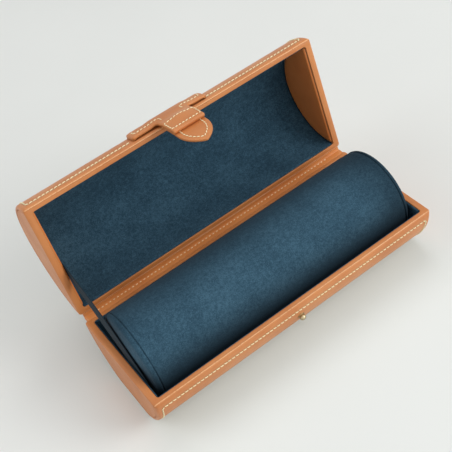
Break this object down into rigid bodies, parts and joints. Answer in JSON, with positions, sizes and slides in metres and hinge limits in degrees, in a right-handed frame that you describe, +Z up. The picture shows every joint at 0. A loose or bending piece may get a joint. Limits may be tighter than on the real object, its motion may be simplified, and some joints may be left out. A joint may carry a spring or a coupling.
{
  "type": "watch travel case",
  "caption": "Round leather travel case with a hinged lid, suede lining, a removable cylindrical watch roll and a strap clasp that hooks over a stud.",
  "frame": {"origin": "middle of the flat sole under the base, on the table", "axes": "+X along the case, +Y towards the hinge at the back, +Z up"},
  "size_m": [0.249, 0.1621, 0.1584],
  "materials": {
    "tan_leather": "satin",
    "lid_facing_leather": "satin",
    "navy_suede": "matte",
    "navy_ribbon": "matte",
    "foam": "matte",
    "base_board": "matte",
    "lid_board": "matte",
    "steel": "satin",
    "brass": "polished"
  },
  "bodies": {
    "base": {"base_shell": "base_board", "base_end_board_left": "base_board", "base_end_board_right": "base_board", "ballast_plate": "steel", "base_cover": "tan_leather", "base_end_leather_left": "tan_leather", "base_end_leather_right": "tan_leather", "base_rim": "tan_leather", "base_lining": "navy_suede", "base_end_lining_left": "navy_suede", "base_end_lining_right": "navy_suede", "stud_knob": "brass", "stud_screw": "steel", "hinge_roll": "tan_leather", "ribbon_stay": "navy_ribbon"},
    "roll": {"roll_core": "foam", "roll_cover": "navy_suede", "roll_end_left": "navy_suede", "roll_end_right": "navy_suede"},
    "lid": {"lid_shell": "lid_board", "lid_end_board_left": "lid_board", "lid_end_board_right": "lid_board", "lid_cover": "tan_leather", "lid_end_leather_left": "tan_leather", "lid_end_leather_right": "tan_leather", "lid_rim": "tan_leather", "lid_lining": "navy_suede", "lid_end_facing_left": "lid_facing_leather", "lid_end_facing_right": "lid_facing_leather", "hinge_leaf": "tan_leather", "clasp_bar": "tan_leather"},
    "strap": {"clasp_tab": "tan_leather", "clasp_tongue": "tan_leather"}
  },
  "joints": [
    {"name": "lid_hinge", "type": "hinge", "parent": "base", "child": "lid", "pos_m": [0, 0.052, 0.04465], "axis": [1, 0, 0], "range_deg": [0, 101.7], "deforming": ["ribbon_stay"]},
    {"name": "clasp_flex", "type": "hinge", "parent": "lid", "child": "strap", "pos_m": [0, 0.07326, 0.14656], "axis": [1, 0, 0], "range_deg": [-60, 24], "stiffness_Nm_per_rad": 0.03},
    {"name": "roll_lift", "type": "slide", "parent": "base", "child": "roll", "axis": [0, 0, -1], "range_m": [-0.008, 0]}
  ]
}
